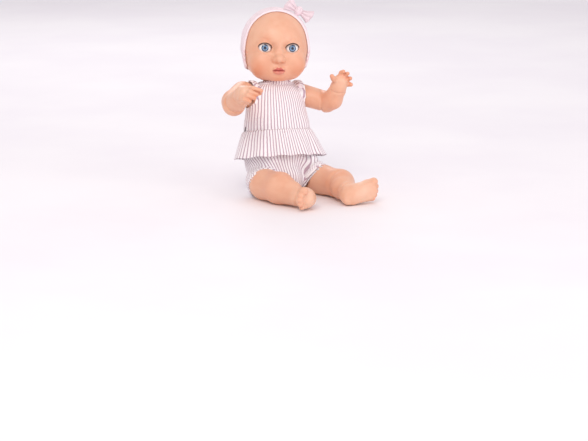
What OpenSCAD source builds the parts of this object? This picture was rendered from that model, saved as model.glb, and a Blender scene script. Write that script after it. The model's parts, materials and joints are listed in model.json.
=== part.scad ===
// Interactive baby doll, seated. A hollow vinyl head and four hollow vinyl limbs turn on a hard
// two-shell torso. The torso holds a sound module with a speaker, two cells, a press button in the
// tummy and a power switch in the back. The eyes roll on a weighted axle. The doll wears a striped
// romper and a headband with a bow. The doll faces -Y, and its own right side is -X.

/* [Pose] */
// Backward lean of the seated torso, degrees
torso_lean = 13; // [9:1:15]
// Sideways lean of the torso towards the doll's left, degrees
torso_side = 2.5; // [0:0.5:4]
// Backward lean of the neck axis, degrees
neck_lean = 4.5; // [3:0.5:6]
// Sideways lean that the neck adds, degrees
neck_side = 1; // [0:0.5:2]
// Turn of the head from straight ahead, degrees, towards the doll's right when negative
head_turn = -17; // [-30:1:30]

/* [Torso] */
// Wall of the hard torso shells
shell_wall = 2; // [1.6:0.1:2.4]
// Flat of the back that carries the battery door, measured from the torso's axis
back_flat = 27; // [26.8:0.1:27.2]
// Height of the shoulder axis along the torso
shoulder_z = 124.5; // [124:0.5:125]
// Half width of the torso at its two shoulder seats
shoulder_x = 34; // [33.5:0.5:34.5]
// Radius of the vinyl stub that turns in each arm hole
arm_stub_r = 8.5; // [8:0.1:9]
// Radius of the vinyl stub that turns in each leg hole
leg_stub_r = 8; // [7:0.1:8.4]
// Gap round each turning stub
turn_gap = 0.3; // [0.2:0.05:0.4]

/* [Limbs] */
// Wall of the hollow vinyl head and limbs
vinyl_wall = 2.6; // [2:0.1:3]
// Radius of the round top of each thigh
thigh_r = 18.5; // [18:0.5:19]
// Distance from the middle plane to the flat of each hip seat
hip_x = 22; // [21.5:0.5:23]

/* [Sound module] */
// Radius of an AA cell
cell_r = 7.1; // [7:0.05:7.25]
// Length of an AA cell
cell_length = 50.2; // [49.5:0.1:50.5]
// Radius of the tummy button's cap
button_r = 10; // [9:0.2:10.4]
// Travel of the tummy button
button_travel = 1.8; // [1:0.1:2]
// Radius of the speaker's basket
speaker_r = 16; // [15:0.5:16]

/* [Clothes] */
// Thickness of the romper's cloth with its seams
cloth = 1.8; // [1.4:0.1:2]
// Width of the headband at the crown
band_w = 30; // [26:1:34]

/* [Hidden] */

skin = "#eebd9b";
shell_pink = "#f0cdb8";
stripe_cloth = "#ead9dd";
band_pink = "#f6d6dc";

seat_y = 4;                       // where the torso's axis meets the seat
neck_z = 134;                     // base of the neck along the torso
hip_y = -5;                       // hip axis, in the doll's frame
hip_z = thigh_r + 0.3;
hip_seat_r = thigh_r + 4;         // round seat cut in the torso for the top of each thigh
neck_r = 15;
neck_rim_z = 9;                   // lower rim of the head, in the head's frame
torso_top = 137.2;
eye_x = 17.3;
eye_r = 10.5;
eye_y = -23.5;                    // eyeball centres, in the head's frame
eye_z = 51.5;
eye_opening_r = 7.2;
weight_hang = 8;                  // the eye weight hangs this far back of its axle, degrees
cell_x = 7.7;
cell_y = 15.9;
cell_z = 38;                      // lower end of the cells along the torso
case_w = 36;
case_front = 7.1;
case_low = 32;
case_high = 94;
board_y = -14;
board_low = 42;
board_high = 88;
button_z = 66;
speaker_z = 100;
speaker_front = -21;
knob_z = 23;
plate_low = 36.1;                 // face of the lower contact plates
plate_high = 91.2;                // face of the upper contact plate
screw_x = 29;
screw_levels = [56, 98];
screw_seat_y = 12;
flange_lip = 0.7;
boss_r = 12;                      // round end wall of each shoulder seat
shoulder_seat_r = 16;
seat_gap = 4.4;                   // cloth under the torso's lower end
waist_z = 78;
hip_lift = 6;                     // how far a thigh lifts towards the tummy, degrees
closure_top = 110;
armhole_r = 20;
bodice_gap = 0.4;                 // gap between the torso and the bodice
cloth_puff = 2.6;                 // gap between the torso and the bloomers
sphere_fn = 20;

// Torso sections: height along the torso, half width, half depth.
torso_sections = [
    [15, 33, 26], [28, 39, 32], [48, 40.5, 34.5], [70, 39.5, 33.5],
    [96, 38, 30], [112, 38, 28], [126, 36, 24], [133, 30, 20.5], [137, 23, 17.5]];

// Limb stations are [x, y, z, radius] in the doll's frame at rest.
right_arm_line = [
    [-40, 31, 126, 14.6], [-60, 14, 119, 14.6], [-65.3, 2, 117.6, 13.7], [-66.5, -28, 133, 11.3]];
right_palm = [[-68.5, -34, 136.5, 9.8], [-69, -41, 138.2, 8.8]];
left_arm_line = [
    [45, 31.5, 119.4, 12.6], [71, 8, 111.3, 12.9], [72, 0, 115, 12.5], [75.6, -8, 129.5, 10.4]];
left_palm = [[75.6, -9.5, 133, 8.9], [77.8, -11, 139.2, 8.5]];
right_leg_line = [
    [-29, -5, 18.8, 18.5], [-38, -32, 19.3, 19], [-32, -64, 19.6, 19.5], [-22, -97, 14, 11.5]];
right_foot_line = [[-15, -104, 13, 11.5], [-20, -112, 13.5, 11]];
left_leg_line = [
    [29, -5, 18.8, 18.5], [42, -34, 18.6, 18.3], [50.5, -66, 18.6, 17.5], [45, -98, 14.5, 12]];
left_foot_line = [[46.5, -108, 12, 11.5], [58, -108, 13, 11]];

// Fingers are [base, knuckle, tip] points; a thumb comes last.
right_fingers = [
    [[-67, -41, 143.9], [-62.3, -50, 145], [-54.4, -57, 142.4]],
    [[-70.5, -42, 139.8], [-67, -52, 141], [-60.3, -58, 138.4]],
    [[-73, -42, 135.5], [-70.3, -52, 136.7], [-63.8, -58, 134.1]],
    [[-75, -42, 131.3], [-73.7, -50, 132.2], [-69.3, -56, 130.2]],
    [[-62, -38, 138], [-57, -45, 138.8], [-53.5, -51, 138.5]]];
left_fingers = [
    [[76.2, -12, 146], [77.6, -14, 151], [78.5, -17.5, 153]],
    [[80.6, -12.5, 144.5], [83.2, -14.5, 148.6], [84.4, -18, 150]],
    [[83.8, -12.5, 140.7], [87.2, -14.5, 142.8], [88.2, -18, 143.6]],
    [[84.8, -12, 135.8], [88.4, -14, 135.7], [89.6, -17.2, 135.4]],
    [[71, -12, 140], [65.6, -15, 144.5], [62.6, -17, 148]]];
finger_radii = [3.1, 2.8, 2.4];

// Toes are [base, tip] points with the big toe first.
right_toes = [
    [[-22, -113, 23], [-27, -121, 26]], [[-25, -115, 19], [-31.5, -122.5, 21]],
    [[-26.5, -115.5, 14.5], [-33, -123, 16]], [[-26, -114.5, 10], [-32, -122, 11]],
    [[-23, -113, 6.5], [-28.5, -119.5, 6.3]]];
left_toes = [
    [[68, -108, 24], [75, -110, 27]], [[69.5, -108, 18.5], [77.3, -110, 21]],
    [[69.5, -108, 13.5], [77.5, -109.5, 15.2]], [[68.5, -107.5, 9.5], [76.8, -108.5, 10]],
    [[66.5, -107, 6.8], [75, -107.5, 5.8]]];
toe_radii = [[6, 5.4], [5.2, 4.3], [5, 4], [4.8, 3.8], [4.6, 3.6]];

// ---------------------------------------------------------------- frames and helpers

module in_torso() translate([0, seat_y, 0]) rotate([-torso_lean, torso_side, 0]) children();

// Undoes the torso's lean, about the torso's own origin.
module leveled() rotate([torso_lean, 0, 0]) rotate([0, -torso_side, 0]) children();

module in_neck() in_torso() translate([0, 0, neck_z])
    rotate([torso_lean - neck_lean, neck_side, 0]) children();

module in_head() in_neck() rotate([0, 0, head_turn]) children();

// A cylinder along Y from y0 to y1 round the point (x, z).
module y_rod(r, y0, y1, x = 0, z = 0)
    translate([x, y1, z]) rotate([90, 0, 0]) cylinder(r = r, h = y1 - y0, $fn = 48);

// A cylinder along X from x0 to x1 round the point (y, z).
module x_rod(r, x0, x1, y = 0, z = 0)
    translate([x0, y, z]) rotate([0, 90, 0]) cylinder(r = r, h = x1 - x0, $fn = 48);

module box_between(low, high) translate(low) cube(high - low);

module ball(p, grow = 0, fn = sphere_fn)
    translate([p.x, p.y, p.z]) sphere(r = p[3] + grow, $fn = fn);

// A chain of balls, each hulled to the next.
module limb(line, grow = 0, fn = sphere_fn)
    for (i = [0 : len(line) - 2]) hull() {
        ball(line[i], grow, fn);
        ball(line[i + 1], grow, fn);
    }

module digit(points, radii)
    for (i = [0 : len(points) - 2]) hull() {
        translate(points[i]) sphere(r = radii[i], $fn = 12);
        translate(points[i + 1]) sphere(r = radii[i + 1], $fn = 12);
    }

// A round wire swept along its points, with a ring of `sides` corners at each.
function unit(v) = v / norm(v);
function wire_heading(path, i) =
    unit(path[min(i + 1, len(path) - 1)] - path[max(i - 1, 0)]);
function wire_side(heading) =
    unit(cross(heading, abs(heading.z) < 0.9 ? [0, 0, 1] : [1, 0, 0]));
function wire_ring(path, i, r, sides) =
    let (h = wire_heading(path, i), u = wire_side(h), v = cross(h, u))
    [for (k = [0 : sides - 1])
        path[i] + r * (cos(360 * k / sides) * u + sin(360 * k / sides) * v)];
module wire(path, r, sides = 8) {
    rings = len(path);
    points = [for (i = [0 : rings - 1]) each wire_ring(path, i, r, sides)];
    walls = [for (i = [0 : rings - 2], k = [0 : sides - 1])
        let (a = i * sides + k, b = i * sides + (k + 1) % sides)
        [a, a + sides, b + sides, b]];
    start_cap = [[for (k = [0 : sides - 1]) k]];
    end_cap = [[for (k = [sides - 1 : -1 : 0]) (rings - 1) * sides + k]];
    polyhedron(points = points, faces = concat(start_cap, walls, end_cap));
}

// A smooth route through a few points, as a quadratic curve between the first and the last.
function bend(a, b, c, steps = 8) =
    [for (i = [0 : steps]) let (t = i / steps)
        (1 - t) * (1 - t) * a + 2 * t * (1 - t) * b + t * t * c];

// A screw that points along -Y, its head's face at y = 0.
module screw(length, head_r = 2.6, shank_r = 1.3) difference() {
    union() {
        y_rod(head_r, -1.6, 0);
        y_rod(shank_r, -length, -1.5);
    }
    box_between([-1.8, -0.8, -0.35], [1.8, 0.1, 0.35]);
    box_between([-0.35, -0.8, -1.8], [0.35, 0.1, 1.8]);
}

// ---------------------------------------------------------------- torso shells

// The torso's outer form without its hip seats, grown by `grow`.
module torso_form(grow = 0) intersection() {
    hull() {
        for (s = torso_sections)
            translate([0, 0, s[0] + (s[0] > 135 ? grow : 0)])
                scale([s[1] + grow, s[2] + grow, 1]) cylinder(r = 1, h = 0.2, $fn = 40);
        leveled() translate([0, -8, seat_gap - grow]) scale([25 + grow, 19 + grow, 1])
            cylinder(r = 1, h = 0.2, $fn = 40);
    }
    box_between([-80, -80, -10], [80, back_flat + grow, 150]);
}

// Round hip seats, as cutters in the torso's frame.
module hip_cut(r, from_x) for (side = [-1, 1]) leveled()
    translate([side > 0 ? from_x : -from_x - 50, hip_y - seat_y, hip_z])
        rotate([0, 90, 0]) cylinder(r = r, h = 50, $fn = 64);

module shoulder_rods(r, from_x, to_x) for (side = [-1, 1])
    translate([side > 0 ? from_x : -to_x, 0, shoulder_z])
        rotate([0, 90, 0]) cylinder(r = r, h = to_x - from_x, $fn = 64);

module torso_wall() difference() {
    union() {
        difference() {
            torso_form();
            hip_cut(hip_seat_r, hip_x);
            shoulder_rods(shoulder_seat_r, shoulder_x, 60);
        }
        shoulder_rods(boss_r, 22, shoulder_x);
    }
    difference() {
        torso_form(-shell_wall);
        hip_cut(hip_seat_r + shell_wall, hip_x - shell_wall);
        shoulder_rods(shoulder_seat_r + shell_wall, shoulder_x - shell_wall, 60);
    }
    shoulder_rods(boss_r - 1, 22, shoulder_x - shell_wall);
    shoulder_rods(arm_stub_r + turn_gap, 20, 60);
    hip_cut(leg_stub_r + turn_gap, hip_x - 10);
    cylinder(r = neck_r - 1, h = 200, $fn = 64);
}

module screw_bosses(y0, y1) intersection() {
    for (x = [-screw_x, screw_x], z = screw_levels) y_rod(4.2, y0, y1, x, z);
    torso_form(-0.5);
}

module torso_front() in_torso() color(shell_pink) difference() {
    union() {
        intersection() {
            torso_wall();
            box_between([-80, -80, 0], [80, 0, 160]);
        }
        screw_bosses(-40, 0);
        difference() {
            y_rod(speaker_r + 1.6, speaker_front - 3.4, speaker_front + 2, 0, speaker_z);
            y_rod(speaker_r + 0.05, speaker_front, speaker_front + 3, 0, speaker_z);
            y_rod(speaker_r - 1.5, speaker_front - 4, speaker_front + 3, 0, speaker_z);
        }
    }
    for (x = [-screw_x, screw_x], z = screw_levels) y_rod(1.35, -12, 1, x, z);
    y_rod(button_r + turn_gap, -50, -20, 0, button_z);
    for (a = [0 : 60 : 300], i = [1 : 2])
        y_rod(1.1, -40, -22, 4.5 * i * cos(a), speaker_z + 4.5 * i * sin(a));
    y_rod(1.1, -40, -22, 0, speaker_z);
}

module torso_back() in_torso() color(shell_pink) difference() {
    union() {
        intersection() {
            torso_wall();
            box_between([-80, 0.05, 0], [80, 80, 160]);
        }
        screw_bosses(0.05, 40);
    }
    for (x = [-screw_x, screw_x], z = screw_levels) {
        y_rod(1.6, -1, 60, x, z);
        y_rod(3, screw_seat_y, 60, x, z);
    }
    box_between([-case_w / 2 - 0.1, 15, case_low - 0.1], [case_w / 2 + 0.1, 60, case_high + 0.1]);
    box_between([-6, 15, knob_z - 2.6], [6, 60, knob_z + 2.6]);
}

module shell_screws() in_torso() color("silver")
    for (x = [-screw_x, screw_x], z = screw_levels) translate([x, screw_seat_y + 1.6, z]) screw(21);

// ---------------------------------------------------------------- neck

module neck_post() color("#d8d2cc") difference() {
    union() {
        in_neck() translate([0, 0, 6]) cylinder(r = neck_r, h = 14.5, $fn = 64);
        in_torso() translate([0, 0, torso_top]) cylinder(r = 18, h = 2, $fn = 64);
        in_torso() translate([0, 0, torso_top - 6]) cylinder(r = neck_r - 1.2, h = 11, $fn = 64);
        in_torso() translate([0, 0, torso_top - 6]) cylinder(r = 15.6, h = 2, $fn = 64);
    }
    in_neck() translate([0, 0, -8]) cylinder(r = 10, h = 24, $fn = 48);
    in_neck() translate([0, 0, 15]) cylinder(r = 1.3, h = 10, $fn = 32);
}

module neck_lock_ring() in_neck() color("#d8d2cc") difference() {
    translate([0, 0, 20.6]) cylinder(r = neck_r + 3.2, h = 2.4, $fn = 64);
    translate([0, 0, 20]) cylinder(r = 1.6, h = 4, $fn = 32);
}

module neck_screw() in_neck() color("silver") translate([0, 0, 24.7]) rotate([90, 0, 0]) screw(9);

// ---------------------------------------------------------------- sound module

module battery_case() in_torso() color("#e9e4df") difference() {
    box_between([-case_w / 2, case_front, case_low], [case_w / 2, back_flat - 2.3, case_high]);
    box_between([-case_w / 2 + 1.6, case_front + 1.6, case_low + 4],
        [case_w / 2 - 1.6, back_flat, case_high - 1.6]);
    y_rod(1, 15, back_flat, 0, case_low + 2.2);
}

module battery_door() in_torso() color(shell_pink) difference() {
    union() {
        box_between([-case_w / 2 + 0.2, back_flat - 2.2, case_low + 0.2],
            [case_w / 2 - 0.2, back_flat, case_high - 0.2]);
        for (x = [-9, 9]) box_between([x - 3, back_flat - 4.4, case_high - 3.2],
            [x + 3, back_flat - 2.1, case_high - 1.8]);
    }
    y_rod(1.3, 20, 40, 0, case_low + 2.2);
    y_rod(2, back_flat - 1.75, 40, 0, case_low + 2.2);
}

module battery_door_screw() in_torso() color("silver")
    translate([0, back_flat - 0.1, case_low + 2.2]) screw(5.8, 1.9, 0.9);

module cell(x, up) in_torso() translate([x, cell_y, cell_z]) {
    translate([0, 0, up ? 0 : 1]) cylinder(r = cell_r, h = cell_length - 1, $fn = 48);
    translate([0, 0, up ? cell_length - 1.1 : 0]) cylinder(r = 2.7, h = 1.1, $fn = 32);
}
module battery_left() color("#4f5560") cell(cell_x, true);
module battery_right() color("#4f5560") cell(-cell_x, false);

function coil(x, y, z0, z1, r0, r1, turns, per_turn = 10) =
    [for (i = [0 : turns * per_turn]) let (t = i / (turns * per_turn))
        [x + (r0 + (r1 - r0) * t) * cos(360 * turns * t),
         y + (r0 + (r1 - r0) * t) * sin(360 * turns * t), z0 + (z1 - z0) * t]];

module battery_springs() in_torso() color("silver") {
    wire(coil(cell_x, cell_y, cell_z - 0.35, plate_low + 0.35, 2.2, 3.6, 2), 0.3, 6);
    wire(coil(-cell_x, cell_y, cell_z + cell_length + 0.35, plate_high - 0.35, 2.2, 3.6, 2), 0.3, 6);
}

module battery_contacts() in_torso() color("silver") {
    for (x = [-cell_x, cell_x])
        box_between([x - 5, cell_y - 5, plate_low - 0.1], [x + 5, cell_y + 5, plate_low]);
    box_between([-cell_x - 5, cell_y - 5, plate_high], [cell_x + 5, cell_y + 5, case_high - 1.6]);
    box_between([cell_x - 4, cell_y - 4, cell_z + cell_length + 0.1], [cell_x + 4, cell_y + 4, plate_high]);
}

module circuit_board() in_torso() color("#2c7a4b") difference() {
    box_between([-22, board_y, board_low], [22, board_y + 1.6, board_high]);
    for (x = [-19, 19], z = [board_low + 3, board_high - 3]) y_rod(1.3, -20, 0, x, z);
}

module sound_chip() in_torso() color("#1c1c1e")
    translate([10, board_y + 1.6, 56]) intersection() {
        translate([0, -6, 0]) sphere(r = 8.5, $fn = 48);
        y_rod(7, 0, 4);
    }

module board_components() in_torso() color("#c9a26b") {
    for (x = [-14, -8]) y_rod(2.4, board_y + 1.6, board_y + 8, x, 76);
    for (z = [48, 52]) box_between([-16, board_y + 1.6, z], [-12.8, board_y + 2.4, z + 1.6]);
    box_between([6, board_y + 1.6, 74], [16, board_y + 6.5, 79]);
}

module tact_switch() in_torso() color("#333336") {
    box_between([-3, board_y - 3.4, button_z - 3], [3, board_y, button_z + 3]);
    y_rod(1.6, board_y - 4.6, board_y - 3.3, 0, button_z);
}

module board_screws() in_torso() color("silver")
    for (x = [-19, 19], z = [board_low + 3, board_high - 3])
        translate([x, board_y, z]) rotate([180, 0, 0]) translate([0, 1.7, 0]) screw(8, 2.1, 1);

module speaker_frame() in_torso() color("#3a3a3d") translate([0, speaker_front, speaker_z])
    rotate([-90, 0, 0]) rotate_extrude($fn = 72) polygon([
        [speaker_r - 2.6, 0], [speaker_r, 0], [speaker_r, 2], [speaker_r - 1.4, 2],
        [11, 7], [11, 8], [7.5, 8], [7.5, 7], [9.8, 7], [speaker_r - 2.6, 1.6]]);

module speaker_cone() in_torso() color("#c8b89a") translate([0, speaker_front, speaker_z])
    rotate([-90, 0, 0]) rotate_extrude($fn = 72) polygon([
        [0, 3.4], [4, 4.4], [5.5, 5.6], [speaker_r - 3.2, 1.1], [speaker_r - 2.8, 0.4],
        [speaker_r - 2.8, 1.4], [5.6, 6.5], [3.6, 5.2], [0, 4.2]]);

module speaker_magnet() in_torso() color("silver")
    y_rod(8.6, speaker_front + 8.1, speaker_front + 13, 0, speaker_z);

module battery_wires() in_torso() for (side = [-1, 1])
    color(side > 0 ? "#c0302c" : "#26262a")
        wire(bend([side * 12, case_front - 0.8, 88], [side * 14, -1, 92],
            [side * 15, board_y + 2.4, 81]), 0.7);

module speaker_wires() in_torso() for (side = [-1, 1])
    color(side > 0 ? "#d8d24a" : "#3565b0")
        wire(bend([10.5 + side, speaker_front + 12, 96], [11 + 1.5 * side, -5, 89],
            [9 + 2 * side, board_y + 7.3, 78]), 0.7);

module power_switch_body() in_torso() color("#222225") difference() {
    box_between([-8, back_flat - 9, knob_z - 4], [8, back_flat - shell_wall - 0.1, knob_z + 4]);
    box_between([-5.8, back_flat - 6, knob_z - 2.2], [5.8, 40, knob_z + 2.2]);
}

module power_switch_knob() in_torso() color("#222225") {
    box_between([-3.2, back_flat - 5.8, knob_z - 1.9], [0.8, back_flat - 2, knob_z + 1.9]);
    for (i = [0 : 2]) translate([-2.9 + 1.2 * i, back_flat - 2.1, knob_z - 1.9]) cube([0.7, 1.8, 3.8]);
}

module tummy_button() in_torso() color("#f2b8c2") {
    y_rod(button_r, -32.4, -28.6, 0, button_z);
    y_rod(button_r + 1.6, -29.7, -28.2, 0, button_z);
    y_rod(2.4, -28.3, board_y - 6.6, 0, button_z);
}

module button_spring() in_torso() color("silver")
    translate([0, 0, button_z]) rotate([90, 0, 0])
        wire(coil(0, 0, -board_y + 0.5, 27.7, 5.4, 5.4, 4, 12), 0.4, 8);

// ---------------------------------------------------------------- head

// The vinyl head's outer form in the head's frame, grown by `grow`.
module head_form(grow = 0) hull() {
    translate([0, 5, 58]) scale([41.5 + grow, 43.5 + grow, 42 + grow]) sphere(r = 1, $fn = 36);
    translate([0, -8, 46]) scale([39 + grow, 29.5 + grow, 30 + grow]) sphere(r = 1, $fn = 28);
    for (side = [-1, 1]) translate([side * 19, -17, 31]) sphere(r = 17 + grow, $fn = 24);
    translate([0, -25, 20]) sphere(r = 11 + grow, $fn = 24);
}

module head_shell() in_head() color(skin) difference() {
    union() {
        head_form();
        translate([0, 0, neck_rim_z]) cylinder(r = neck_r + 3.6, h = 14, $fn = 64);
        hull() {
            translate([0, -38, 37]) sphere(r = 5.5, $fn = 20);
            translate([0, -34, 46]) sphere(r = 3.5, $fn = 20);
        }
    }
    difference() {
        head_form(-vinyl_wall - 0.8);
        translate([0, 0, -5]) cylinder(r = neck_r + 3.6, h = 25, $fn = 64);
    }
    translate([0, 0, -5]) cylinder(r = neck_r + 0.2, h = 28, $fn = 64);
    translate([0, 0, 20.3]) cylinder(r = neck_r + 3.6, h = 6, $fn = 64);
    translate([0, 0, -5]) cylinder(r = 40, h = 5 + neck_rim_z, $fn = 64);
    for (side = [-1, 1]) translate([side * eye_x, eye_y, eye_z]) sphere(r = eye_r + 0.5, $fn = 48);
    for (side = [-1, 1]) y_rod(eye_opening_r, -60, eye_y, side * eye_x, eye_z);
}

module eye_bracket() in_head() color("#e6e2dc") difference() {
    union() {
        for (x = [-4, 2]) translate([x, eye_y - 2.4, eye_z - 3]) cube([2, 6.8, 19]);
        box_between([-4, eye_y + 2.4, eye_z + 4], [4, eye_y + 4.4, eye_z + 16]);
        box_between([-4, -40, eye_z + 14], [4, eye_y + 4.4, eye_z + 16]);
    }
    x_rod(1.35, -20, 20, eye_y, eye_z);
    difference() {
        box_between([-30, -80, 20], [30, 20, 90]);
        head_form(-vinyl_wall - 0.9);
    }
}

module eyeball(side) in_head() translate([side * eye_x, eye_y, eye_z]) rotate([0, 90, 0])
    difference() {
        sphere(r = eye_r, $fn = 64);
        translate([0, 0, -20]) cylinder(r = 1.25, h = 40, $fn = 32);
    }
module left_eyeball() color("white") eyeball(1);
module right_eyeball() color("white") eyeball(-1);

module eye_axle() in_head() color("silver") x_rod(1.2, -eye_x - 9.6, eye_x + 9.6, eye_y, eye_z);

module eye_weight() in_head() color("#6c6c70") difference() {
    union() {
        x_rod(2.8, -1.4, 1.4, eye_y, eye_z);
        translate([0, eye_y, eye_z]) rotate([weight_hang, 0, 0]) {
            box_between([-1.4, -1.2, -13], [1.4, 1.2, -2]);
            x_rod(4.4, -5.5, 5.5, 0, -16);
        }
    }
    x_rod(1.25, -20, 20, eye_y, eye_z);
}

// The space that the headband keeps to: it widens from the crown towards the jaw and nape.
module band_slab() hull() {
    translate([0, band_w / 2 - 13, 110]) cube([120, band_w + 2, 1], center = true);
    translate([0, band_w / 2 - 19, 46]) cube([120, band_w + 17, 1], center = true);
    translate([0, band_w / 2 - 12, 24]) cube([120, band_w + 26, 1], center = true);
}

module headband() in_head() color(band_pink) difference() {
    intersection() {
        head_form(1.6);
        band_slab();
    }
    head_form(0.15);
    translate([0, 0, -5]) cylinder(r = neck_r + 6, h = 27, $fn = 64);
}

// The bow sits on the band above the doll's left temple. Its frame's +Z leaves the head.
module in_bow() in_head() translate([25.8, 0, 92.4]) rotate([2, 31, 0]) children();

module bow_loops() in_bow() color(band_pink) for (side = [-1, 1]) difference() {
    hull() {
        translate([side * 4.6, 0, 6]) sphere(r = 3, $fn = 20);
        translate([side * 14.5, 0, 9.2]) scale([4.6, 5, 8.6]) sphere(r = 1, $fn = 20);
    }
    translate([side * 12, -20, 8.6]) rotate([-90, 0, 0]) scale([1, 0.62, 1])
        cylinder(r = 4.6, h = 40, $fn = 32);
    box_between([-5.3, -10, 0], [5.3, 10, 20]);
}

module bow_knot() in_bow() color(band_pink) difference() {
    translate([0, 0, 6]) scale([5.2, 5, 6]) sphere(r = 1, $fn = 28);
    box_between([-10, -10, -10], [10, 10, 1.6]);
}

// ---------------------------------------------------------------- limbs

// Everything on the torso's side of a shoulder seat.
module shoulder_keep_out(side) in_torso() scale([side, 1, 1])
    box_between([-10, -60, 60], [shoulder_x + 0.4, 60, 200]);

module arm(side, line, palm, fingers) color(skin) difference() {
    union() {
        limb(line);
        hull() {
            ball(line[3]);
            ball(palm[0]);
        }
        hull() {
            ball(palm[0]);
            ball(palm[1]);
            for (f = [0 : 3]) translate(fingers[f][0]) sphere(r = 3.3, $fn = 14);
        }
        for (f = [0 : 3]) digit(fingers[f], finger_radii);
        digit(fingers[4], finger_radii * 1.15);
    }
    limb([line[0], line[1], line[2], line[3]], -vinyl_wall);
    in_torso() scale([side, 1, 1]) x_rod(arm_stub_r, 20, shoulder_x + 3, 0, shoulder_z);
    shoulder_keep_out(side);
}
module right_arm() arm(-1, right_arm_line, right_palm, right_fingers);
module left_arm() arm(1, left_arm_line, left_palm, left_fingers);

// A stub that turns in the torso's hole, with a disc that holds it from inside.
module flange(r, from_x, out_x) color(skin) {
    x_rod(r, from_x, out_x);
    x_rod(r + flange_lip, from_x - 1.9, from_x + 0.2);
}
module arm_flange(side) in_torso() translate([0, 0, shoulder_z]) scale([side, 1, 1])
    flange(arm_stub_r, shoulder_x - shell_wall - 0.5, shoulder_x + 3);
module right_arm_flange() arm_flange(-1);
module left_arm_flange() arm_flange(1);

module hip_keep_out(side) scale([side, 1, 1])
    box_between([-60, -37, -30], [hip_x + 0.4, 26, 80]);

module leg(side, line, foot, toes) color(skin) difference() {
    union() {
        limb(line);
        hull() {
            ball(line[3]);
            ball(foot[0]);
        }
        hull() {
            ball(foot[0]);
            ball(foot[1]);
            for (t = [0 : 4]) translate(toes[t][0]) sphere(r = toe_radii[t][0], $fn = 14);
        }
        for (t = [0 : 4]) digit(toes[t], toe_radii[t]);
    }
    limb([line[0], line[1], line[2], line[3]], -vinyl_wall);
    scale([side, 1, 1]) x_rod(leg_stub_r, 10, hip_x + 3, hip_y, hip_z);
    hip_keep_out(side);
}
module right_leg() leg(-1, right_leg_line, right_foot_line, right_toes);
module left_leg() leg(1, left_leg_line, left_foot_line, left_toes);

module leg_flange(side) translate([0, hip_y, hip_z]) scale([side, 1, 1])
    flange(leg_stub_r, hip_x - shell_wall - 0.5, hip_x + 3);
module right_leg_flange() leg_flange(-1);
module left_leg_flange() leg_flange(1);

// ---------------------------------------------------------------- clothes

module below_floor() translate([-200, -200, -100]) cube([400, 400, 100]);

module bloomer_leg(side, line) color(stripe_cloth) difference() {
    hull() {
        ball(line[0], 2, 24);
        ball(line[1] + (line[2] - line[1]) * 0.15, 2, 24);
    }
    limb([line[0], line[1], line[2]], 0.1);
    hip_keep_out(side);
    below_floor();
}
module right_bloomer_leg() bloomer_leg(-1, right_leg_line);
module left_bloomer_leg() bloomer_leg(1, left_leg_line);

// The space that a thigh and its cloth take over the whole turn of the hip.
module thigh_sweep(line) hull() for (turn = [-hip_lift, 15, 37, 58, 80])
    translate([0, hip_y, hip_z]) rotate([turn, 0, 0]) translate([0, -hip_y, -hip_z]) {
        ball(line[0], 2.8, 20);
        ball(line[1], 2.8, 20);
    }

module romper_bloomers() color(stripe_cloth) difference() {
    hull() {
        in_torso() intersection() {
            torso_form(cloth_puff + cloth);
            box_between([-80, -80, -20], [80, 80, waist_z - 6]);
        }
        translate([0, -25, 15]) sphere(r = 13, $fn = 24);
    }
    in_torso() torso_form(cloth_puff);
    thigh_sweep(right_leg_line);
    thigh_sweep(left_leg_line);
    below_floor();
}

module romper_peplum() in_torso() color(stripe_cloth) difference() {
    hull() {
        translate([0, 0, waist_z]) scale([45, 39, 1]) cylinder(r = 1, h = 0.2, $fn = 40);
        translate([0, 0, waist_z - 26]) scale([60, 50, 1]) cylinder(r = 1, h = 0.2, $fn = 40);
    }
    hull() {
        translate([0, 0, waist_z + 0.1]) scale([43.5, 37.5, 1]) cylinder(r = 1, h = 0.3, $fn = 40);
        translate([0, 0, waist_z - 26.1]) scale([58.5, 48.5, 1]) cylinder(r = 1, h = 0.2, $fn = 40);
    }
}

module romper_bodice() in_torso() color(stripe_cloth) difference() {
    intersection() {
        torso_form(bodice_gap + cloth);
        box_between([-80, -80, waist_z + 0.4], [80, 80, 150]);
    }
    torso_form(bodice_gap);
    shoulder_rods(shoulder_seat_r + 0.4, 28, 80);
    shoulder_rods(armhole_r, 34, 80);
    shoulder_rods(boss_r + 0.6, 20, 80);
    translate([0, -3, 0]) cylinder(r = 23.5, h = 200, $fn = 64);
}

module romper_back_closure() in_torso() color("white")
    box_between([-6, back_flat + bodice_gap + cloth, waist_z + 4],
        [6, back_flat + bodice_gap + cloth + 1, closure_top]);

module romper_shoulder_button() in_torso() color("#e7dfe2")
    translate([25, -21, 131]) rotate([50, 22, 0]) cylinder(r = 2.4, h = 1.2, $fn = 32);

torso_front();
torso_back();
shell_screws();
neck_post();
neck_lock_ring();
neck_screw();
battery_case();
battery_door();
battery_door_screw();
battery_left();
battery_right();
battery_springs();
battery_contacts();
circuit_board();
sound_chip();
board_components();
tact_switch();
board_screws();
speaker_frame();
speaker_cone();
speaker_magnet();
battery_wires();
speaker_wires();
power_switch_body();
romper_bodice();
romper_peplum();
romper_bloomers();
romper_back_closure();
romper_shoulder_button();
tummy_button();
button_spring();
power_switch_knob();
head_shell();
eye_bracket();
headband();
bow_loops();
bow_knot();
left_eyeball();
right_eyeball();
eye_axle();
eye_weight();
right_arm();
right_arm_flange();
left_arm();
left_arm_flange();
right_leg();
right_leg_flange();
right_bloomer_leg();
left_leg();
left_leg_flange();
left_bloomer_leg();
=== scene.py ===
"""The looks of a talking baby doll: sculpted vinyl skin, inset eyes and a striped romper,
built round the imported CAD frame. Shapes are worked out in millimetres and made in metres.

The doll faces -Y and sits on z = 0. `side` is 1 on its left, at +X, and -1 on its right."""

import json
import math

import bpy
import numpy as np
from mathutils import Matrix, Vector


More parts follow.
